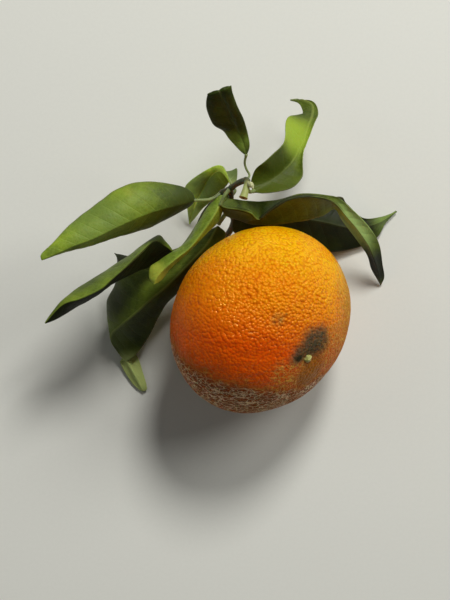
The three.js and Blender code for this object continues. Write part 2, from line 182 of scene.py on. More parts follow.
BLADES["leaf_narrow"] = {
    "rib": [
        (-15.5, 43.5, 35), (-17.5, 41.5, 38), (-20, 37, 39.5), (-23.5, 32, 39.5), (-27.5, 27, 39),
        (-32.5, 23, 38.5), (-36.5, 19.5, 37.8), (-38.5, 17, 37), (-39.2, 15.2, 36),
    ],
    "right": [
        (-18, 43.5, 37), (-22, 39.5, 36), (-25.5, 34.5, 35), (-28.5, 29.5, 34.5), (-32, 26.5, 34),
        (-37.5, 23, 34.5), (-40.5, 20.8, 35.5), (-40.8, 17.5, 35.5),
    ],
    "left": [
        (-14.5, 41.5, 33), (-17, 39, 33), (-18.5, 35.5, 33), (-22, 32, 32.5), (-26.5, 27.5, 31),
        (-30.5, 23.5, 32), (-34, 20, 33.5), (-36.8, 16.5, 34.5),
    ],
    # Painted light: shade 2.5 and sides brighten the halves, partly its own lighter green; the stain is a
    # painted highlight on the tip.
    "puff": (0.6, 0.4), "seed": 31, "rib_rise": 0.05, "rib_pale": 0.12, "shade": 2.5,
    "sides": (0.9, 1.2),
    "painted_light_and_stains": [((-38, 18.5, 36), 4.0, (0.46, 0.52, 0.06), 0.90)],
}
BLADES["leaf_lower_left"] = {
    "rib": [
        (-18.5, 34.5, 26.5), (-22.5, 28, 25.5), (-29, 21, 25), (-35.5, 14.5, 25), (-41, 10, 24),
        (-45.5, 6, 21.5), (-50.5, 2, 17), (-54.5, -1.5, 9.5), (-54.5, -5, 5), (-50.5, -9.5, 3.6),
        (-47.3, -15, 3.2), (-44.2, -21.2, 1.0),
    ],
    "right": [
        (-23.5, 32, 23.5), (-32, 27, 20), (-43, 24.5, 18), (-52, 25.5, 16), (-53.2, 25.8, 16),
        (-52.2, 22.8, 15.5), (-53, 15.5, 14), (-56, 9.5, 11), (-55.5, 3.5, 6), (-51, -3, 2),
        (-46.5, -9, 1.5), (-44.5, -14.5, 1), (-43, -20, 0.9),
    ],
    "left": [
        (-16, 31.5, 22.8), (-20, 25.8, 19), (-25, 21.5, 18), (-30.5, 14, 15), (-35.5, 9, 13),
        (-39, 3.5, 11), (-42, -2, 9), (-46, -8, 7), (-49.5, -10.5, 4.5), (-52, -11.5, 2),
        (-48.4, -17.8, 1), (-45.2, -20.8, 0.9),
    ],
    # Painted shade: sides darkens the left half.
    "puff": (0.9, 0.9), "seed": 47, "rib_rise": -0.12, "shade": 0.9, "sides": (1.0, 0.6),
    "painted_light_and_stains": [
        # The tip: its pale underside colour, brightened as painted light; then painted shade on the blade and
        # in a dark corner.
        ((-47, -15, 2), 7.5, (0.52, 0.62, 0.20), 0.95),
        ((-52, 10, 14), 6.5, (0.024, 0.027, 0.012), 0.75),
        ((-51, 24, 16), 4.0, (0.012, 0.014, 0.007), 0.95),
    ],
}
BLADES["leaf_behind_twig"] = {
    "rib": [
        (-14, 46.5, 30), (-15.5, 50, 26), (-18.5, 53, 21), (-21.5, 51, 16), (-23.5, 47.5, 12),
        (-26, 43, 8), (-28.5, 36, 0.5),
    ],
    "right": [
        (-16, 52, 28), (-18.5, 54.5, 24), (-24, 52.5, 18), (-29.5, 48.5, 12), (-29.5, 44, 8),
        (-29, 40, 5),
    ],
    "left": [
        (-12.5, 49.5, 26), (-12.5, 53.5, 23), (-15, 49.5, 17), (-19, 45.5, 12), (-23.5, 41.5, 7),
        (-26.5, 38, 4),
    ],
    # Painted light: shade 5.4 and sides brighten this leaf behind the twig, and the first two stains light
    # its halves and tip; the third is a painted shadow of the twig.
    "puff": (0.8, 0.8), "seed": 53, "shade": 5.4, "rib_pale": 0.9, "sides": (1.25, 0.75),
    "painted_light_and_stains": [
        ((-25, 49, 13), 7.0, (0.33, 0.48, 0.14), 0.80),
        ((-27, 39, 4), 5.0, (0.42, 0.55, 0.16), 0.80),
        ((-13, 52.5, 24), 4.0, (0.10, 0.15, 0.04), 0.80),
    ],
}
BLADES["leaf_top"] = {
    "rib": [
        (-9.5, 56, 44), (-10.5, 60, 46), (-12, 63, 49), (-14.5, 67.5, 57), (-17, 72, 65), (-18, 74, 68),
        (-17.5, 72, 64.5), (-16, 68.5, 58),
    ],
    "right": [
        (-8.5, 59, 45.5), (-9, 62.5, 48), (-10.5, 66.5, 55), (-12.5, 70, 62), (-14, 73.5, 67),
        (-14.5, 75.5, 68.5), (-15.5, 72.5, 64),
    ],
    "left": [
        (-12, 58, 45), (-15, 61, 46.5), (-17, 63.5, 49), (-20, 65.5, 54), (-22, 69.5, 61),
        (-21.5, 73, 66.5), (-19.5, 72, 64),
    ],
    # Painted shade: shade 0.5 darkens the steep blade; the stain is painted light on its lit base.
    "puff": (0.6, 0.6), "seed": 61, "rib_rise": -0.08, "shade": 0.5,
    "painted_light_and_stains": [((-13, 60.5, 47), 4.5, (0.24, 0.36, 0.05), 0.9)],
}
BLADES["leaf_top_right"] = {
    "rib": [
        (-7.5, 44.5, 43), (-3.5, 47, 41), (0.5, 50, 39), (5, 54.5, 36), (7.5, 58.5, 33), (9.5, 62, 30),
        (11, 67, 26.5), (12.5, 71, 22), (12.5, 75, 18), (9, 77, 15.5), (5.5, 77, 14),
    ],
    "right": [
        (-4, 44, 44), (1, 44.5, 43), (5.5, 46, 41), (8.5, 49.5, 39), (9, 53.5, 37), (9.5, 58, 34),
        (11, 62.5, 30), (13, 68, 25.5), (14.5, 72.5, 20.5), (12.5, 76.5, 17),
    ],
    "left": [
        (-8, 48, 42.5), (-6.5, 51.5, 45), (-3.5, 54, 46.5), (0.5, 58, 43.5), (2.5, 61, 39),
        (3, 65.5, 33), (4, 69.5, 28), (7, 71, 23), (9.5, 72, 19), (8.5, 75.5, 16),
    ],
    "puff": (-0.5, -0.5), "seed": 71, "rib_rise": 0.26, "shade": 0.85,
    # A painted lit panel on the upper half, then painted shade on the lower part.
    "painted_light_and_stains": [
        ((7, 66, 34), 9.0, (0.30, 0.42, 0.03), 0.90),
        ((-2, 50, 43), 9.0, (0.055, 0.075, 0.004), 0.80),
    ],
}
BLADES["leaf_right"] = {
    "rib": [
        (-18, 40.5, 39), (-15.5, 39.5, 39.5), (-11.5, 39, 40), (-8, 38, 38), (-5.5, 36, 36),
        (-3, 38, 37), (0.5, 40.5, 39), (4, 42.5, 40), (9.5, 43.5, 40), (15.5, 43, 37), (19.5, 41.5, 32),
        (23.5, 37.5, 26.5), (27.5, 33.5, 21), (31.5, 28.5, 15.5), (33.5, 24.5, 12), (35.5, 20, 6.5),
        (37, 15, 0.5),
    ],
    "right": [
        (-16, 37.5, 31), (-11.5, 36, 29), (-7, 35, 28), (-1.5, 35, 28), (4.5, 35.5, 28), (10, 36, 28),
        (15.5, 38, 28), (19.5, 40, 28), (22, 36.5, 24.5), (26, 32, 18.5), (29.5, 28, 13.5),
        (32, 24.5, 9.5), (33.5, 20.5, 5),
    ],
    "left": [
        (-15, 42.5, 37.5), (-10, 42, 36), (-4.5, 42, 33), (1, 42.5, 34), (5.5, 43.5, 36),
        (10.5, 44, 37), (15.5, 44, 35), (20.5, 43.5, 31), (25.5, 40, 26), (30.5, 35.5, 20),
        (34, 31.5, 15), (36, 27.5, 11), (37, 22.5, 7), (38, 18, 3),
    ],
    # Painted shade: under_shade 0.18 darkens the underside inside the arch.
    "puff": (-0.6, -0.6), "seed": 83, "shade": 0.9, "rib_pale": 0.2, "under_shade": 0.18,
    "painted_light_and_stains": [
        # A painted sheen on the arm, painted shade on the tip, and a real light-green scrap by the cut.
        ((26, 35, 22), 10.5, (0.32, 0.45, 0.13), 0.95),
        ((35.5, 20.5, 8), 8.0, (0.012, 0.015, 0.007), 0.98),
        ((-13.5, 43, 39), 1.8, (0.26, 0.33, 0.05), 0.90),
    ],
}
BLADES["leaf_far_right"] = {
    "rib": [
        (-12.2, 39.1, 24.2), (-9, 38.5, 22), (-5.5, 38, 20), (3.5, 38, 17), (15.5, 36.5, 13),
        (26, 34.5, 9), (35, 36, 5), (42.5, 40.5, 1),
    ],
    "right": [
        (-13.4, 36.5, 23), (-13.6, 33, 20), (-11, 31.2, 17.5), (-6, 32, 15.5), (-0.5, 32, 13),
        (9, 27.5, 8), (20.5, 26.5, 4), (29, 28, 2.5), (35.5, 31.5, 2), (38.5, 36.5, 1.5),
    ],
    "left": [
        (-10.5, 41, 23.5), (-8, 41.5, 20.5), (-1.5, 41.5, 17), (10.5, 41.5, 13), (22, 45, 9),
        (25, 42.5, 8), (30.5, 38, 6), (37, 38.5, 3),
    ],
    # Painted shadow: shade 0.12 darkens the leaf under leaf_right; the stain is painted light on the tip
    # beyond it.
    "puff": (-0.6, -0.8), "seed": 97, "shade": 0.12,
    "painted_light_and_stains": [((41, 39, 2), 7.5, (0.17, 0.25, 0.05), 0.95)],
}


# ---- curves and noise ----
CURVE_STEPS = 801  # that a curve's length is measured in


def catmull_rom(points, shares):
    """A cubic between each pair of points, whose slope at a point is half its neighbours' step."""
    points = np.asarray(points, float)
    if points.ndim == 1:
        points = points[:, None]
    spans = len(points) - 1
    padded = np.vstack([2 * points[0] - points[1], points, 2 * points[-1] - points[-2]])
    place = np.clip(shares, 0, 1) * spans
    index = np.minimum(place.astype(int), spans - 1)
    f = (place - index)[:, None]
    a, b, c, d = (padded[index + k] for k in range(4))
    bend = 2 * a - 5 * b + 4 * c - d
    return 0.5 * (2 * b + (c - a) * f + bend * f**2 + (3 * b - a - 3 * c + d) * f**3)


def at_length(points, shares):
    """Points at the given shares of the curve's length, and that length."""
    fine = np.linspace(0, 1, CURVE_STEPS)
    steps = np.linalg.norm(np.diff(catmull_rom(points, fine), axis=0), axis=1)
    run = np.concatenate([[0], np.cumsum(steps)])
    return catmull_rom(points, np.interp(np.asarray(shares) * run[-1], run, fine)), run[-1]


def unit(vectors):
    """Vectors scaled to length one."""
    return vectors / np.maximum(np.linalg.norm(vectors, axis=-1, keepdims=True), 1e-12)


def smoothstep(low, high, value):
    """0 below low, 1 above high, and an even S between."""
    share = np.clip((value - low) / (high - low), 0, 1)
    return share * share * (3 - 2 * share)


def cell_random(cells, seed):
    """A repeatable number from 0 to 1 for each whole-number cell: its bits mixed with primes."""
    primes = np.array([73856093, 19349663, 83492791], dtype=np.int64)
    mixed = np.bitwise_xor.reduce(cells.astype(np.int64) * primes, axis=-1) ^ (seed * 2654435761)
    mixed = (mixed ^ (mixed >> 13)) * 1274126177 & 0xFFFFFFFF
    mixed ^= mixed >> 15
    return (mixed & 0xFFFFFF) / float(0x1000000)


def soft_noise(points, size, seed):
    """Random values on a lattice of that size, blended smoothly between its corners, -1 to 1."""
    place = points / size
    cell = np.floor(place).astype(np.int64)
    f = place - cell
    f = f * f * (3 - 2 * f)
    total = np.zeros(points.shape[:-1])
    for corner in np.ndindex(2, 2, 2):
        weight = np.prod(np.where(np.array(corner) == 1, f, 1 - f), axis=-1)
        total += weight * cell_random(cell + np.array(corner), seed)
    return total * 2 - 1


def nearest_point(points, size, seed):
    """Distance, in cell sizes, to the nearest of one random point in each cell."""
    place = points / size
    cell = np.floor(place).astype(np.int64)
    nearest = np.full(points.shape[:-1], np.inf)
    for step in np.ndindex(3, 3, 3):
        beside = cell + np.array(step) - 1
        chosen = np.stack([cell_random(beside, seed + k) for k in range(3)], -1)
        nearest = np.minimum(nearest, np.linalg.norm(beside + chosen - place, axis=-1))
    return nearest


# ---- meshes ----
def make_piece(name, vertices, faces, replaced, materials, face_material=None, marks=None):
    """A smooth mesh object from millimetre vertices; marks are named values, one per vertex."""
    mesh = bpy.data.meshes.new(name)
    mesh.from_pydata((np.asarray(vertices) * MM).tolist(), [], [list(map(int, f)) for f in faces])
    for material in materials:
        mesh.materials.append(material)
    if face_material is not None:
        mesh.polygons.foreach_set("material_index", np.asarray(face_material, dtype=np.int32))
    for mark, values in (marks or {}).items():
        attribute = mesh.attributes.new(mark, "FLOAT", "POINT")
        attribute.data.foreach_set("value", np.asarray(values, dtype=np.float32).ravel())
    mesh.polygons.foreach_set("use_smooth", np.ones(len(mesh.polygons), dtype=bool))
    mesh.update()
    piece = bpy.data.objects.new(name, mesh)
    bpy.context.scene.collection.objects.link(piece)
    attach(piece, ROOT)
    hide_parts(*replaced)
    return piece


def grid_faces(rows, columns, start=0, closed=False, flip=False):
    """Quads of a grid of points; closed joins the last column to the first."""
    wide = columns if closed else columns - 1
    i, j = np.meshgrid(np.arange(rows - 1), np.arange(wide), indexing="ij")
    k = (j + 1) % columns
    quads = np.stack([i * columns + j, i * columns + k, (i + 1) * columns + k, (i + 1) * columns + j], -1)
    quads = quads.reshape(-1, 4) + start
    return quads[:, ::-1] if flip else quads


def path_frames(path):
    """Tangents, and two normals carried along the path with the least turning."""
    tangent = unit(np.gradient(path, axis=0))
    start = np.eye(3)[np.argmin(np.abs(tangent[0]))]
    normal = np.zeros_like(path)
    normal[0] = unit(start - start @ tangent[0] * tangent[0])
    for i in range(1, len(path)):
        kept = normal[i - 1] - normal[i - 1] @ tangent[i] * tangent[i]
        normal[i] = unit(kept)
    return tangent, normal, np.cross(tangent, normal)


def closed_rings(rings):
    """Points and faces of stacked rings, with a face over the first ring and over the last."""
    rows, sides = rings.shape[:2]
    faces = list(grid_faces(rows, sides, closed=True))
    faces.append(np.arange(sides)[::-1])
    faces.append(np.arange(sides) + (rows - 1) * sides)
    return rings.reshape(-1, 3), faces


# Rings that close a stem: radius and step outwards, in shares of the stem's radius.
DOME = [(0.82, 0.30), (0.45, 0.46), (0.04, 0.52)]
CUT_SCAR = [
    (1.10, 0.02), (1.02, 0.16), (0.86, 0.05), (0.66, 0.14),
    (0.50, 0.03), (0.34, 0.12), (0.16, -0.06), (0.03, -0.10),
]


def swept(stem, stations, sides, swell, start=DOME, end=DOME):
    """A round section carried along the route: a point is the path plus the radius times the
    cosine and sine of the angle along the two normals. swell(share, angle, points) adds to the
    radius. Each end is closed by the rings given."""
    shares = np.linspace(0, 1, stations)
    route, radii = stem
    path, length = at_length(route, shares)
    tangent, normal, side = path_frames(path)
    radius = catmull_rom(radii, shares)[:, 0]
    angle = np.linspace(0, 2 * np.pi, sides, endpoint=False)
    turn = angle[None, :, None]
    spoke = normal[:, None] * np.cos(turn) + side[:, None] * np.sin(turn)
    reach = np.repeat(radius[:, None], sides, axis=1)
    reach = reach + swell(shares[:, None], angle[None, :], path[:, None] + spoke * reach[..., None])
    rings = path[:, None] + spoke * reach[..., None]
    closing = []
    for at, way, profile in ((0, -1.0, start), (-1, 1.0, end)):
        shrink, step = np.array(profile).T[:, :, None, None]
        cap = path[at] + spoke[at] * reach[at][:, None] * shrink
        closing.append(cap + tangent[at] * way * radius[at] * step)
    rings = np.concatenate([closing[0][::-1], rings, closing[1]])
    along = np.concatenate([np.zeros(len(start)), shares, np.ones(len(end))])
    inward = np.concatenate([1 - np.array(start)[::-1, 0], np.zeros(stations + len(end))])
    points, faces = closed_rings(rings)
    marks = {
        "along_mm": np.repeat(along * length, sides),
        "turn": np.tile(np.abs(angle - np.pi), len(rings)),
        "cap": np.repeat(inward, sides),
    }
    return points, faces, marks


# ---- shader graphs ----
class Graph:
    """Adds nodes to a new material: an input takes a value, or another node's output."""

    def __init__(self, name):
        self.material = bpy.data.materials.new(name)
        self.material.use_nodes = True
        self.tree = self.material.node_tree
        self.tree.nodes.clear()

    def add(self, kind, inputs=None, **settings):
        node = self.tree.nodes.new("ShaderNode" + kind)
        for key, value in settings.items():
            setattr(node, key, value)
        for key, value in (inputs or {}).items():
            if isinstance(value, bpy.types.NodeSocket):
                self.tree.links.new(value, node.inputs[key])
            else:
                node.inputs[key].default_value = value
        return node

    def math(self, operation, *values):
        return self.add("Math", dict(enumerate(values)), operation=operation).outputs[0]

    def times(self, first, second):
        return self.math("MULTIPLY", first, second)

    def plus(self, first, second):
        return self.math("ADD", first, second)

    def vector(self, operation, *values):
        places = (0, 3) if operation == "SCALE" else range(len(values))
        node = self.add("VectorMath", dict(zip(places, values)), operation=operation)
        return node.outputs["Value" if operation == "DISTANCE" else "Vector"]

    def spread(self, value, low, high, out_low=0.0, out_high=1.0):
        """An even S from out_low at low to out_high at high."""
        ends = {"From Min": low, "From Max": high, "To Min": out_low, "To Max": out_high}
        node = self.add("MapRange", {"Value": value, **ends}, interpolation_type="SMOOTHSTEP")
        return node.outputs["Result"]

    def mix(self, factor, first, second):
        """The first colour where the factor is 0, the second where it is 1."""
        node = self.add("Mix", data_type="RGBA")
        for key, value in {"Factor": factor, "A": first, "B": second}.items():
            socket = next(s for s in node.inputs if s.enabled and s.name == key)
            if isinstance(value, bpy.types.NodeSocket):
                self.tree.links.new(value, socket)
            elif key == "Factor":
                socket.default_value = value
            else:
                socket.default_value = (*value[:3], 1.0)
        return next(s for s in node.outputs if s.enabled)

    def place(self, scale=1.0):
        """The place on the object, in metres, or in millimetres with a scale of 1 / MM."""
        return self.vector("SCALE", self.add("TexCoord").outputs["Object"], scale)

    def mark(self, name):
        return self.add("Attribute", attribute_name=name).outputs["Fac"]

    def noise(self, where, scale, detail=3.0, roughness=0.55):
        inputs = {"Vector": where, "Scale": scale, "Detail": detail, "Roughness": roughness}
        return self.add("TexNoise", inputs).outputs["Fac"]

    def cells(self, where, scale, feature="F1"):
        node = self.add("TexVoronoi", {"Vector": where, "Scale": scale}, feature=feature)
        return node.outputs["Distance"]

    def bump(self, height, strength, distance):
        inputs = {"Height": height, "Strength": strength, "Distance": distance}
        return self.add("Bump", inputs).outputs["Normal"]

    def finish(self, colour, roughness, normal, **more):
        """Joins the surface shader to the output; more names other inputs, with _ for a space."""
        inputs = {"Base Color": colour, "Roughness": roughness, "Normal": normal}
        inputs.update({key.replace("_", " "): value for key, value in more.items()})
        shader = self.add("BsdfPrincipled", inputs)
        output = self.add("OutputMaterial")
        self.tree.links.new(shader.outputs["BSDF"], output.inputs["Surface"])
        return self.material


# Colours of details in the bark, and of a blade's edge.
PORES = (0.42, 0.38, 0.22)
PALE_STUB = (0.36, 0.40, 0.12)
CUT_WOOD = ((0.10, 0.045, 0.02), (0.40, 0.28, 0.17))  # between the rings and on them
PITH = (0.035, 0.016, 0.01)
DRY_MARGIN = (0.24, 0.22, 0.06)


def bark_finish(name, colours, roughness=0.55):
    """Green bark: streaks drawn out along the stem, pale pores, and a brown ringed cut at its start."""
    g = Graph(name)
    where = g.place(1 / MM)
    along = g.mark("along_mm")
    turn = g.mark("turn")
    drawn_out = g.add("CombineXYZ", {"X": g.times(along, 0.25), "Y": g.times(turn, 1.6)})
    streak = g.noise(drawn_out.outputs[0], 2.0, 4.0, 0.6)
    broad = g.noise(where, 0.35, 3.0)
    pores = g.spread(g.cells(where, 1.3), 0.10, 0.24, 1.0, 0.0)
    colour = g.mix(g.spread(streak, 0.35, 0.65), colours[0], colours[1])
    colour = g.mix(g.spread(broad, 0.45, 0.75, 0.0, 0.6), colour, colours[2])
    colour = g.mix(g.times(pores, 0.45), colour, PORES)
    pale = g.spread(along, 3.0, 6.5, 1.0, 0.0)
    colour = g.mix(g.times(pale, g.mark("stub")), colour, PALE_STUB)
    ring = g.math("SINE", g.times(g.mark("cap"), 16.0))
    cut = g.mix(g.spread(ring, -0.6, 0.8), *CUT_WOOD)
    cut = g.mix(g.spread(g.mark("cap"), 0.75, 0.95), cut, PITH)
    colour = g.mix(g.spread(g.mark("cap"), 0.02, 0.1), colour, cut)
    height = g.plus(streak, g.times(pores, 0.6))
    return g.finish(colour, roughness, g.bump(height, 0.5, 0.00015), Subsurface_Weight=0.05)


# ---- the fruit ----
def cube_sphere(steps):
    """Directions on six equal-angle faces of a cube, with the seams between the faces merged:
    a face point (1, tan a, tan b), a and b from -45 to 45 degrees, scaled to length one."""
    edge = np.tan(np.linspace(-np.pi / 4, np.pi / 4, steps + 1))
    u, v = np.meshgrid(edge, edge, indexing="ij")
    one = np.ones_like(u)
    sides = [(one, u, v), (-one, v, u), (v, one, u), (u, -one, v), (u, v, one), (v, u, -one)]
    points = np.concatenate([unit(np.stack(side, -1)).reshape(-1, 3) for side in sides])
    row = steps + 1
    quads = np.concatenate([grid_faces(row, row, k * row**2, flip=True) for k in range(6)])
    keys = np.round(points * 1e6).astype(np.int64)
    _, first, again = np.unique(keys, axis=0, return_index=True, return_inverse=True)
    return points[first], again.ravel()[quads]


def axis_turn():
    """Columns: two directions across the blossom axis, then the axis."""
    side = unit(np.cross([0.0, 0.0, 1.0], BLOSSOM_AXIS))
    return np.stack([side, np.cross(BLOSSOM_AXIS, side), BLOSSOM_AXIS], axis=1)


def near(points, mark):
    """1 inside the ball of a mark on the peel, fading to 0 over its soft edge."""
    centre, radius, soft = PEEL_MARKS[mark]
    return 1 - smoothstep(radius, radius + soft, np.linalg.norm(points - np.array(centre, float), axis=-1))


def peel_surface(look):
    """A flattened ball: its directions are stretched to the equator and pole radii, and each pole
    is pressed in by its dimple's depth times e to the minus square of the distance from the axis
    over the dimple's radius. Lumps, folds, pebbles over the oil glands and the crust of the scars
    then move it outwards."""
    ball, quads = cube_sphere(look.grid_steps)
    turn = axis_turn()
    radius = np.hypot(ball[:, 0], ball[:, 1]) * look.equator_radius
    high = ball[:, 2] * look.pole_radius
    depth = np.where(high > 0, BLOSSOM_DIMPLE[0], STEM_DIMPLE[0])
    spread = np.where(high > 0, BLOSSOM_DIMPLE[1], STEM_DIMPLE[1])
    high = high - np.sign(high) * depth * np.exp(-((radius / spread) ** 2))
    local = np.stack([ball[:, 0] * look.equator_radius, ball[:, 1] * look.equator_radius, high], -1)
    points = FRUIT_CENTRE + local @ turn.T
    radii = np.array([look.equator_radius, look.equator_radius, look.pole_radius])
    outward = unit(ball / radii) @ turn.T
    way = unit(points - FRUIT_CENTRE)

    ragged = soft_noise(points, 5.0, 11) * 0.07 + soft_noise(points, 1.6, 12) * 0.05
    netted = np.zeros(len(points))
    scar = np.zeros(len(points))
    for facing, limit, (low, full), net_share, skin_share in SCARRED:
        amount = smoothstep(low, full, way @ np.array(facing) - limit + ragged)
        netted = np.maximum(netted, amount * net_share)
        scar = np.maximum(scar, amount * skin_share)
    fresh = near(points, "fresh")
    netted = netted * (1 - 0.85 * fresh)
    scar = scar * (1 - 0.5 * fresh)

    lumps = soft_noise(points, 14.0, 1) * 0.32 + soft_noise(points, 6.0, 2) * 0.12
    folds = soft_noise(points * np.array([0.6, 1.3, 1.0]), 3.2, 3) * near(points, "folded") * 0.22
    gland = nearest_point(points, look.gland_size, 5)
    pebble = 0.5 - np.minimum(gland, 0.85) ** 2 * 1.3
    pebbled = 0.55 + 0.6 * near(points, "pebbled")
    crust = soft_noise(points, 1.1, 21) * 0.05 * scar
    lift = lumps + folds + crust + look.pebble_height * pebble * ((1 - 0.55 * scar) * pebbled) - 0.25
    points = points + outward * lift[:, None]
    points[:, 2] = np.maximum(points[:, 2], 0.0)

    speckle = soft_noise(points, 0.8, 31) * 0.5 + soft_noise(points, 2.4, 32) * 0.6
    smudge = np.maximum(near(points, "smudge"), near(points, "smudge_tail") * 0.9)
    marks = {
        "scar": scar,
        "netted": netted,
        "fresh": fresh,
        "pebbled": pebbled,
        # Painted shade in the creases between the pebbles.
        "pit": np.clip(0.5 - pebble, 0, 1),
        # The ripe mark is painted light: yellower towards the key lamp, not riper peel.
        "ripe": np.clip(0.27 + way @ np.array(LIT_SIDE) + speckle * 0.06, 0, 1),
        "smudge": smoothstep(0.05, 1.0, smudge + speckle * 0.24),
        "spot": np.clip(near(points, "spot") + near(points, "speck") * 0.8, 0, 1),
        "halo": near(points, "halo") * np.clip(0.8 + speckle * 0.5, 0, 1),
        "stain": near(points, "stain") * np.clip(0.55 + speckle, 0, 1),
        "bruise": near(points, "bruise") * np.clip(0.75 + speckle * 0.6, 0, 1),
    }
    return points, quads, marks


def peel_finish(look):
    """Waxy orange peel: painted light makes it yellower towards the key lamp, painted shade redder
    and darker in the creases between the pebbles; a tan net on dull scarred skin, a sooty smudge and its
    halo. The glints are tinted, as the wax is yellow."""
    g = Graph("peel")
    where = g.place(1 / MM)
    broad = g.noise(where, 0.09, 2.0)
    grain = g.noise(where, 1.1, 4.0, 0.6)
    glands = g.cells(where, 1.05)
    scar = g.mark("scar")
    bend = g.add("TexNoise", {"Vector": where, "Scale": 0.45, "Detail": 2.0}).outputs["Color"]
    bend = g.vector("SCALE", bend, 3.4)
    bent = g.vector("ADD", g.vector("MULTIPLY", where, (0.65, 1.3, 1.1)), bend)
    wide = g.spread(g.cells(bent, look.net_scale, "DISTANCE_TO_EDGE"), 0.025, 0.09, 1.0, 0.0)
    fine = g.spread(g.cells(bent, look.net_scale * 1.9, "DISTANCE_TO_EDGE"), 0.03, 0.10, 0.35, 0.0)
    netted = g.times(g.spread(g.mark("netted"), 0.1, 0.8), g.spread(broad, 0.3, 0.5, 0.6, 1.0))
    net = g.times(g.math("MAXIMUM", wide, fine), netted)
    net_tone = g.mix(g.spread(scar, 0.5, 1.0), (0.72, 0.36, 0.05), look.net_colour)
    # Painted light: from the deep orange to the lit colour towards the key lamp, by the ripe mark.
    colour = g.mix(g.mark("ripe"), look.deep_colour, look.lit_colour)
    layers = (
        (g.spread(broad, 0.45, 0.7), 0.25, look.deep_colour),
        # Painted shade: these two layers make the creases between the pebbles redder and darker.
        (g.mark("pit"), 0.22, (0.75, 0.10, 0.001)),
        (g.spread(glands, 0.45, 0.75), 0.35, (0.70, 0.10, 0.001)),
        (g.mark("bruise"), 0.6, (0.30, 0.10, 0.02)),
        (g.mark("fresh"), 0.85, (0.36, 0.115, 0.003)),
        (scar, g.spread(grain, 0.25, 0.7, 0.55, 0.92), look.scar_colour),
        (net, g.spread(grain, 0.3, 0.55, 0.45, 1.0), net_tone),
        (g.mark("stain"), 0.7, (0.17, 0.13, 0.035)),
        (g.mark("halo"), 0.62, (0.20, 0.115, 0.022)),
        (g.mark("smudge"), g.spread(grain, 0.25, 0.60, 0.55, 0.97), look.smudge_colour),
        (g.mark("spot"), 1.0, (0.018, 0.014, 0.010)),
    )
    for mask, amount, tone in layers:
        colour = g.mix(g.times(mask, amount), colour, tone)
    dull = g.math("MAXIMUM", scar, g.mark("smudge"))
    roughness = g.plus(g.spread(dull, 0.0, 1.0, 0.16, 0.85), g.times(grain, 0.12))
    pebbles = g.times(g.times(glands, glands), g.times(g.mark("pebbled"), -1.9))
    height = g.plus(g.plus(pebbles, g.times(grain, 0.3)), g.times(net, 0.5))
    normal = g.bump(height, 0.9, 0.00042)
    return g.finish(
        colour,
        roughness,
        normal,
        Subsurface_Weight=0.4,
        Subsurface_Radius=(0.012, 0.0018, 0.0004),
        Subsurface_Scale=1.0,
        IOR=1.15,
        Specular_Tint=(9.0, 7.0, 2.0, 1.0),
    )


# ---- the blades ----
def blade_sheet(blade, stations, columns):
    """The blade's middle surface. At each share s of its length a half runs straight from the rib,
    t = 0, to its margin, t = 1, and is bulged by puff times 4t(1 - t) times the sine of pi s."""
    shares = np.linspace(0.004, 0.997, stations)
    rib, length = at_length(blade["rib"], shares)
    tangent = unit(np.gradient(rib, axis=0))
    share = np.linspace(0, 1, columns) ** 1.5
    arch = 4 * share * (1 - share)
    halves = []
    for edge, puff, side in zip(("right", "left"), blade["puff"], (1.0, -1.0)):
        margin, _ = at_length([blade["rib"][0], *blade[edge], blade["rib"][-1]], shares)
        across = margin - rib
        out = unit(np.cross(across, tangent)) * side
        swell = puff * np.sin(np.pi * shares)[:, None] * arch
        halves.append(rib[:, None] + across[:, None] * share[:, None] + out[:, None] * swell[..., None])
    grid = np.concatenate([halves[0][:, ::-1], halves[1][:, 1:]], axis=1)
    signed = np.concatenate([share[::-1], -share[1:]])
    reach = np.linalg.norm(grid - rib[:, None], axis=-1)
    return grid, signed[None, :] * np.ones((stations, 1)), reach, shares[:, None] * length, length


def vein_phase(along, reach, spacing, side):
    """How many lateral veins lie between the base and a point; they lean towards the tip."""
    return (along - 0.95 * reach + 0.022 * reach**2) / spacing + 0.45 * (side > 0)


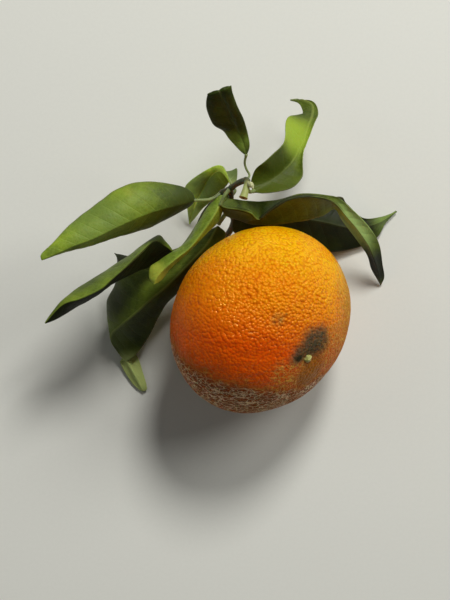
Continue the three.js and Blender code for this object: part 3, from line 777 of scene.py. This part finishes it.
def blade_surface(blade, look):
    """The middle surface pushed up and down by half the blade's thickness, with a grooved or raised
    midrib, sunken side veins, quilting between them and a waved margin; rims are stitched shut."""
    grid, signed, reach, along, length = blade_sheet(blade, look.stations, look.columns)
    normal = unit(np.cross(np.gradient(grid, axis=0), np.gradient(grid, axis=1)))
    share = np.abs(signed)
    taper = np.sin(np.pi * np.clip(along / length, 0, 1)) ** 0.5
    wave = soft_noise(grid, 9.0, blade["seed"]) * 0.55 + soft_noise(grid, 4.0, blade["seed"] + 1) * 0.22
    phase = vein_phase(along, reach, look.vein_spacing, signed)
    off = np.abs(phase - np.round(phase)) * look.vein_spacing
    vein = np.exp(-((off / 0.45) ** 2)) * taper * smoothstep(0.02, 0.15, share) * (1 - 0.6 * share)
    quilt = np.cos(2 * np.pi * phase) * 0.035 * share * (1 - share) * 4 * taper
    sag = wave * taper * share**1.5 - 0.05 * vein - quilt
    middle = grid + normal * sag[..., None]
    rib_width = 0.30 + 0.35 * (1 - along / length)
    ridge = np.exp(-((reach / rib_width) ** 2)) * (1 - 0.65 * along / length)
    half = 0.5 * look.thickness * (1 - 0.35 * share)
    top = middle + normal * (half + blade.get("rib_rise", -0.1) * ridge)[..., None]
    below = middle - normal * (half + 0.42 * ridge + 0.07 * vein)[..., None]
    rows, wide = signed.shape
    count = rows * wide
    index = np.arange(count).reshape(rows, wide)
    rim = np.concatenate([index[0, :], index[1:, -1], index[-1, -2::-1], index[-2:0:-1, 0]])
    after = np.roll(rim, -1)
    stitched = np.stack([rim, after, after + count, rim + count], -1)
    faces = np.concatenate([grid_faces(rows, wide, flip=True), grid_faces(rows, wide, count), stitched])
    kinds = np.ones(len(faces))
    kinds[: (rows - 1) * (wide - 1)] = 0
    marks = {
        "along": (along / length * np.ones_like(signed)).ravel(),
        "phase": phase.ravel(),
        "share": signed.ravel(),
        "reach": reach.ravel(),
    }
    marks = {key: np.tile(value, 2) for key, value in marks.items()}
    return np.concatenate([top.reshape(-1, 3), below.reshape(-1, 3)]), faces, kinds, marks


def blade_finish(name, colours, blade, upper):
    """Leaf skin: mottled green between pale side veins and midrib, a fine web, and oil dots; the
    upper side is scaled along and across the blade as painted light and shade, and both sides get the blade's
    stain list of real spots and painted light and shade."""
    g = Graph(name)
    where = g.place(1 / MM)
    broad = g.noise(where, 0.10, 3.0)
    grain = g.noise(where, 0.7, 4.0, 0.6)
    web = g.cells(where, 0.75, "DISTANCE_TO_EDGE")
    dots = g.cells(where, 1.5)
    reach = g.mark("reach")
    share = g.math("ABSOLUTE", g.mark("share"))
    phase = g.plus(g.mark("phase"), g.times(grain, 0.06))
    off = g.math("SUBTRACT", g.math("FRACT", g.plus(phase, 1000.5)), 0.5)
    off = g.math("ABSOLUTE", off)  # from the nearest whole phase, where a vein runs
    vein = g.times(g.spread(off, 0.015, 0.06, 1.0, 0.0), g.spread(share, 0.6, 1.0, 1.0, 0.3))
    midrib = g.spread(reach, 0.28, 0.60, 1.0, 0.0)
    base, bright, pale = colours
    along = g.mark("along")
    # Painted light and shade along the blade and on each half.
    base_light, tip_light = blade.get("ends", (1.0, 1.0))
    right_light, left_light = blade.get("sides", (1.0, 1.0))
    colour = g.mix(g.spread(broad, 0.35, 0.68), base, bright)
    colour = g.mix(g.spread(grain, 0.45, 0.8, 0.0, 0.35), colour, bright)
    colour = g.mix(g.spread(web, 0.0, 0.09, 0.12, 0.0), colour, pale)
    colour = g.mix(g.spread(dots, 0.06, 0.16, 0.15, 0.0), colour, pale)
    colour = g.mix(g.times(vein, 0.10 if upper else 0.4), colour, pale)
    colour = g.mix(g.times(midrib, blade.get("rib_pale", 0.6)), colour, pale)
    # Painted light and shade: the upper side is brightened or darkened along the blade and on each half.
    if upper:
        painted_light_along = g.spread(along, 0.1, 0.95, base_light, tip_light)
        painted_light_across = g.spread(g.mark("share"), -0.03, 0.03, left_light, right_light)
        colour = g.vector("SCALE", colour, g.times(painted_light_along, painted_light_across))
        rim = g.times(g.spread(share, 0.93, 1.0), 0.2)
        colour = g.mix(rim, colour, DRY_MARGIN)
    # Real spots, and painted light and shade on parts of the blade.
    for centre, radius, stain, strength in blade.get("painted_light_and_stains", []):
        gap = g.plus(g.vector("DISTANCE", where, centre), g.times(grain, 2.0))
        fade = g.spread(gap, radius * 0.6, radius * 1.6, strength, 0.0)
        colour = g.mix(fade, colour, stain)
    gloss = 0.44 if upper else 0.6
    roughness = g.plus(g.times(grain, 0.14), gloss)
    height = g.plus(g.times(web, 1.2), g.times(vein, -0.5 if upper else 0.7))
    height = g.plus(height, g.times(grain, 0.5))
    normal = g.bump(height, 0.45, 0.0002)
    soft = {"Subsurface_Weight": 0.06, "Subsurface_Scale": 0.001}
    return g.finish(colour, roughness, normal, Specular_IOR_Level=0.2, **soft)


def dry_finish(name, base, light, dark):
    """Dry plant skin: mottled, with darker hollows."""
    g = Graph(name)
    where = g.place(1 / MM)
    broad = g.noise(where, 0.9, 3.0)
    grain = g.noise(where, 4.0, 4.0, 0.6)
    shade = g.mix(g.spread(broad, 0.35, 0.65), base, light)
    shade = g.mix(g.spread(grain, 0.50, 0.72, 0.0, 0.8), shade, dark)
    return g.finish(shade, 0.6, g.bump(grain, 0.5, 0.0001))


# ---- small pieces at the ends of the fruit and the twig ----
def axis_points(across, around, high):
    """Points at a distance across and a height along the blossom axis, from the fruit's centre."""
    local = np.stack([across * np.cos(around), across * np.sin(around), high * np.ones_like(around)], -1)
    return FRUIT_CENTRE + local @ axis_turn().T


def pole_grid(rows, sides):
    """Angles down from a pole and round it, with the poles left just open."""
    down = np.linspace(0.02, np.pi - 0.02, rows)
    return np.meshgrid(down, np.linspace(0, 2 * np.pi, sides, endpoint=False), indexing="ij")


def style_surface():
    """The dried style: a ball whose width is the sine and height the cosine of the angle from its
    pole, pinched by the cosine of three times it, ribbed five times round, and made lumpy."""
    lift, around = pole_grid(30, 40)
    ribbed = 1 + 0.13 * np.cos(5 * around + 0.6) * np.sin(lift) + 0.10 * np.cos(3 * lift)
    across = STYLE_RADIUS * np.sin(lift) * ribbed
    high = STYLE_HEIGHT - 1.05 * np.cos(lift) * (1 + 0.12 * np.cos(3 * around))
    points = axis_points(across, around, high) + np.array(STYLE_LEAN)
    points = points + 0.16 * soft_noise(points, 0.5, 41)[..., None] * BLOSSOM_AXIS
    points = points + 0.10 * np.stack([soft_noise(points, 0.6, k) for k in (42, 43, 44)], -1)
    return closed_rings(points)


def button_surface():
    """The calyx: a flattened ball whose rim is its radius plus a lobe's height times the cosine of
    five turns, ribbed down the middle of each lobe."""
    lift, around = pole_grid(28, 90)
    lobes = np.cos(5 * around)
    across = (BUTTON_RADIUS + LOBE * lobes) * np.sin(lift) ** 0.7
    dome = 0.62 + 0.12 * lobes * np.sin(lift) ** 2
    points = axis_points(across, around, BUTTON_HEIGHT + dome * np.cos(lift))
    points = points + 0.12 * soft_noise(points, 0.9, 45)[..., None] * BLOSSOM_AXIS
    rings, faces = closed_rings(points)
    return rings, [face[::-1] for face in faces]


def knuckles(size, places):
    """A swelling for swept(): rings of bark, each with its place and width in shares of the route
    and its height, plus a grain of that size."""

    def swell(share, angle, points):
        rings = sum(high * np.exp(-(((share - place) / wide) ** 2)) for place, wide, high in places)
        grain = soft_noise(points, 1.4, 51) * 0.5 + soft_noise(points, 0.6, 52) * 0.35
        ridges = 0.35 * np.cos(3 * angle + 5 * share)
        return rings + size * (grain + ridges)

    return swell


def scales(share, angle, _points):
    """Bud scales for swept(): overlapping steps round the bud."""
    step = (share * 3 + angle / (2 * np.pi)) % 1
    return 0.10 * (1 - step) * np.sin(np.pi * share)


def make_stem(name, stem, node, skin, grid, swell, stub=0.0, start=DOME):
    """A piece swept along a stem; stub is 1 where its bark pales towards a cut start."""
    points, faces, marks = swept(stem, *grid, swell, start=start)
    marks["stub"] = np.full(len(points), stub)
    make_piece(name, points, faces, [node], [skin], marks=marks)


# ---- what a user may change ----
def number(name, description, default, **more):
    """A setting of zero or more."""
    return bpy.props.FloatProperty(name=name, description=description, default=default, min=0.0, **more)


def whole(name, description, default, least, most):
    """A whole number between two limits."""
    return bpy.props.IntProperty(name=name, description=description, default=default, min=least, max=most)


def tint(name, description, default):
    """A colour."""
    limits = {"size": 3, "subtype": "COLOR", "min": 0.0, "max": 1.0}
    return bpy.props.FloatVectorProperty(name=name, description=description, default=default, **limits)


class FruitLook(bpy.types.PropertyGroup):
    """Sizes and colours of the fruit."""

    equator_radius: number("Equator radius", "Peel radius round the blossom axis, in millimetres", 32.0)
    pole_radius: number("Pole radius", "Half the fruit's height along its blossom axis, in millimetres", 25.8)
    grid_steps: whole("Grid steps", "Faces along each of the peel's six patches", 124, 20, 128)
    gland_size: number("Gland spacing", "Distance between oil glands, in millimetres", 1.35)
    pebble_height: number("Pebble height", "How far the pebbles over the glands rise, in millimetres", 0.16)
    net_scale: number("Net scale", "Cells of the scar net in each millimetre", 0.46)
    # The lit colour is painted light: the peel's yellow towards the key lamp.
    lit_colour: tint("Lit colour", "Peel where it is yellowest", (0.97, 0.50, 0.002))
    deep_colour: tint("Deep colour", "Peel where it is reddest", (0.93, 0.115, 0.001))
    scar_colour: tint("Scar colour", "Dull skin between the scars", (0.065, 0.023, 0.007))
    net_colour: tint("Net colour", "Raised net of old scars", (1.0, 0.74, 0.47))
    smudge_colour: tint("Smudge colour", "Sooty mark at the blossom end", (0.060, 0.058, 0.042))


class LeafLook(bpy.types.PropertyGroup):
    """Sizes and colours of the leaves."""

    stations: whole("Rows", "Rows of points along a blade", 190, 30, 400)
    columns: whole("Columns", "Points across half a blade", 23, 8, 60)
    thickness: number("Thickness", "Thickness of a blade beside its midrib, in millimetres", 0.42)
    vein_spacing: number("Vein spacing", "Distance between side veins, in millimetres", 4.6)
    dark: tint("Dark green", "Upper side of an old leaf", (0.055, 0.085, 0.008))
    bright: tint("Bright green", "Lighter mottling of the upper side", (0.130, 0.185, 0.014))
    pale: tint("Pale green", "Midrib and side veins", (0.27, 0.33, 0.07))
    under: tint("Underside", "Dull underside of a blade", (0.17, 0.21, 0.06))
    under_pale: tint("Underside veins", "Raised veins of the underside", (0.34, 0.40, 0.18))


class StemLook(bpy.types.PropertyGroup):
    """Colours of the twig and stalks."""

    # The bark is darker than its own green as painted shade, for the leaves' shadow over the twig.
    bark: tint("Bark", "Green bark of the twig", (0.024, 0.036, 0.014))
    bark_light: tint("Light bark", "Streaks on the bark", (0.060, 0.080, 0.025))
    bark_brown: tint("Brown bark", "Weathered patches", (0.040, 0.032, 0.016))
    petiole: tint("Leaf stalk", "Green of the leaf stalks", (0.13, 0.19, 0.045))
    petiole_light: tint("Light leaf stalk", "Streaks on the leaf stalks", (0.26, 0.32, 0.11))


class StageLook(bpy.types.PropertyGroup):
    """Floor, lights and camera."""

    floor: tint("Floor", "Plain pale surface", (0.80, 0.81, 0.755))
    camera_height: number("Camera height", "Above the floor", 0.620, unit="LENGTH")
    focal_length: number("Focal length", "In millimetres", 108.6)
    key_power: number("Key light", "Power of the key light", 10.7, unit="POWER")
    side_power: number("Side light", "Power of the side light", 5.8, unit="POWER")
    fill_power: number("Fill light", "Power of the fill light", 0.9, unit="POWER")
    sky: number("Sky", "Strength of the even light from all round", 0.062)


def settings(kind):
    """The scene's settings for the fruit, the leaves, the stems or the stage."""
    return getattr(bpy.context.scene, "mandarin_" + kind)


# ---- operators ----
class MANDARIN_OT_fruit(bpy.types.Operator):
    """Builds the peel"""

    bl_idname = "mandarin.fruit"
    bl_label = "Fruit"

    def execute(self, context):
        look = settings("fruit")
        points, faces, marks = peel_surface(look)
        make_piece("peel", points, faces, ["fruit"], [peel_finish(look)], marks=marks)
        return {"FINISHED"}


class MANDARIN_OT_ends(bpy.types.Operator):
    """Builds the dried style and the calyx"""

    bl_idname = "mandarin.ends"
    bl_label = "Style and calyx"

    def execute(self, context):
        style = dry_finish("dried_style", (0.38, 0.38, 0.09), (0.66, 0.62, 0.26), (0.16, 0.10, 0.03))
        points, faces = style_surface()
        make_piece("style", points, faces, ["blossom_nub"], [style])
        button = dry_finish("calyx_skin", (0.14, 0.20, 0.06), (0.25, 0.28, 0.10), (0.20, 0.13, 0.05))
        points, faces = button_surface()
        make_piece("calyx_button", points, faces, ["calyx"], [button])
        return {"FINISHED"}


class MANDARIN_OT_stems(bpy.types.Operator):
    """Builds the twig with its cut end, the fruit's stalk and the bud"""

    bl_idname = "mandarin.stems"
    bl_label = "Twig and stalk"

    def execute(self, context):
        look = settings("stems")
        bark = bark_finish("twig_bark", (look.bark, look.bark_light, look.bark_brown))
        rings = [(0.0, 0.02, 0.10), (0.20, 0.02, 0.22), (0.42, 0.02, 0.20), (0.55, 0.02, 0.18)]
        swell = knuckles(0.05, rings)
        make_stem("twig_stem", TWIG, "twig", bark, (150, 28), swell, 1.0, CUT_SCAR)
        swell = knuckles(0.06, [(0.12, 0.02, 0.15), (0.30, 0.02, 0.2), (0.97, 0.05, 0.35)])
        make_stem("stalk_stem", FRUIT_STALK, "fruit_stalk", bark, (170, 26), swell)
        skin = dry_finish("bud_scales", (0.42, 0.44, 0.20), (0.62, 0.62, 0.36), (0.20, 0.16, 0.06))
        make_stem("bud_tip", BUD, "bud", skin, (26, 20), scales)
        return {"FINISHED"}


class MANDARIN_OT_petioles(bpy.types.Operator):
    """Builds the nine leaf stalks"""

    bl_idname = "mandarin.petioles"
    bl_label = "Leaf stalks"

    def execute(self, context):
        look = settings("stems")
        skin = bark_finish("leaf_stalk", (look.petiole, look.petiole_light, look.bark), 0.45)
        swell = knuckles(0.035, [(0.0, 0.10, 0.12), (0.97, 0.05, 0.10)])
        for name, stem in PETIOLES.items():
            make_stem(name + "_stem", stem, name, skin, (48, 18), swell)
        return {"FINISHED"}


class MANDARIN_OT_leaves(bpy.types.Operator):
    """Builds the nine leaf blades"""

    bl_idname = "mandarin.leaves"
    bl_label = "Leaves"

    def execute(self, context):
        look = settings("leaves")
        for name, blade in BLADES.items():
            # shade and under_shade: partly a leaf's own tone, partly painted light and shade.
            shade = blade.get("shade", 1.0)
            under_shade = blade.get("under_shade", min(shade, 1.2))
            upper = [np.array(tone) * shade for tone in (look.dark, look.bright, look.pale)]
            under = [np.array(tone) * under_shade for tone in (look.under, look.under, look.under_pale)]
            finishes = [
                blade_finish(name + "_upper", upper, blade, True),
                blade_finish(name + "_under", under, blade, False),
            ]
            points, faces, kinds, marks = blade_surface(blade, look)
            make_piece(name + "_blade", points, faces, [name], finishes, kinds, marks)
        return {"FINISHED"}


class MANDARIN_OT_stage(bpy.types.Operator):
    """Sets out the floor, the lights and the camera"""

    bl_idname = "mandarin.stage"
    bl_label = "Floor, lights and camera"

    def execute(self, context):
        look = settings("stage")
        scene = context.scene
        half = FLOOR_HALF
        corners = [(-half, -half, 0), (half, -half, 0), (half, half, 0), (-half, half, 0)]
        mesh = bpy.data.meshes.new("floor")
        mesh.from_pydata(corners, [], [(0, 1, 2, 3)])
        g = Graph("floor_card")
        grain = g.noise(g.place(), 900.0, 3.0)
        card = g.mix(g.spread(grain, 0.3, 0.7), look.floor, [v * 0.985 for v in look.floor])
        mesh.materials.append(g.finish(card, 0.75, g.bump(grain, 0.06, 0.0001)))
        floor = bpy.data.objects.new("floor", mesh)
        scene.collection.objects.link(floor)
        for name, lamp in LAMPS.items():
            self.light(name + "_light", *lamp, getattr(look, name + "_power"))
        world = bpy.data.worlds.new("sky")
        world.use_nodes = True
        even_light = world.node_tree.nodes["Background"].inputs
        even_light["Color"].default_value = (1.0, 0.99, 0.97, 1.0)
        even_light["Strength"].default_value = look.sky
        scene.world = world
        lens = bpy.data.cameras.new("camera")
        lens.lens = look.focal_length
        lens.clip_start = 0.01
        camera = bpy.data.objects.new("camera", lens)
        camera.location = (*CAMERA_PLACE, look.camera_height)
        scene.collection.objects.link(camera)
        scene.camera = camera
        scene.view_settings.view_transform = "Standard"
        return {"FINISHED"}

    def light(self, name, bearing, rise, size, power):
        """A round soft lamp that faces the fruit from a bearing and a rise, in degrees."""
        bearing = math.radians(bearing)
        rise = math.radians(rise)
        level = math.cos(rise)
        away = mathutils.Vector((math.sin(bearing) * level, math.cos(bearing) * level, math.sin(rise)))
        lamp = bpy.data.lights.new(name, "AREA")
        lamp.shape = "DISK"
        lamp.size = size
        lamp.energy = power
        lamp.color = (1.0, 0.985, 0.95)
        holder = bpy.data.objects.new(name, lamp)
        holder.location = mathutils.Vector(LAMP_TARGET) + away * LAMP_DISTANCE
        holder.rotation_euler = away.to_track_quat("Z", "Y").to_euler()
        bpy.context.scene.collection.objects.link(holder)


class MANDARIN_PT_panel(bpy.types.Panel):
    """Lists the pieces of the mandarin"""

    bl_idname = "MANDARIN_PT_panel"
    bl_label = "Mandarin"
    bl_space_type = "VIEW_3D"
    bl_region_type = "UI"
    bl_category = "Mandarin"

    def draw(self, context):
        for operator in OPERATORS:
            self.layout.operator(operator.bl_idname)
        for kind in LOOKS:
            look = settings(kind)
            box = self.layout.box()
            for key in look.__annotations__:
                box.prop(look, key)


LOOKS = {"fruit": FruitLook, "leaves": LeafLook, "stems": StemLook, "stage": StageLook}
OPERATORS = (
    MANDARIN_OT_stage,
    MANDARIN_OT_fruit,
    MANDARIN_OT_ends,
    MANDARIN_OT_stems,
    MANDARIN_OT_petioles,
    MANDARIN_OT_leaves,
)


def register():
    """Adds the settings, the operators and the panel."""
    for kind, look in LOOKS.items():
        bpy.utils.register_class(look)
        setattr(bpy.types.Scene, "mandarin_" + kind, bpy.props.PointerProperty(type=look))
    for operator in OPERATORS:
        bpy.utils.register_class(operator)
    bpy.utils.register_class(MANDARIN_PT_panel)


def unregister():
    """Takes them away again."""
    bpy.utils.unregister_class(MANDARIN_PT_panel)
    for operator in reversed(OPERATORS):
        bpy.utils.unregister_class(operator)
    for kind, look in LOOKS.items():
        delattr(bpy.types.Scene, "mandarin_" + kind)
        bpy.utils.unregister_class(look)


def main():
    """Builds everything in order."""
    register()
    bpy.ops.mandarin.stage()
    bpy.ops.mandarin.fruit()
    bpy.ops.mandarin.ends()
    bpy.ops.mandarin.stems()
    bpy.ops.mandarin.petioles()
    bpy.ops.mandarin.leaves()


if __name__ == "__main__":
    main()
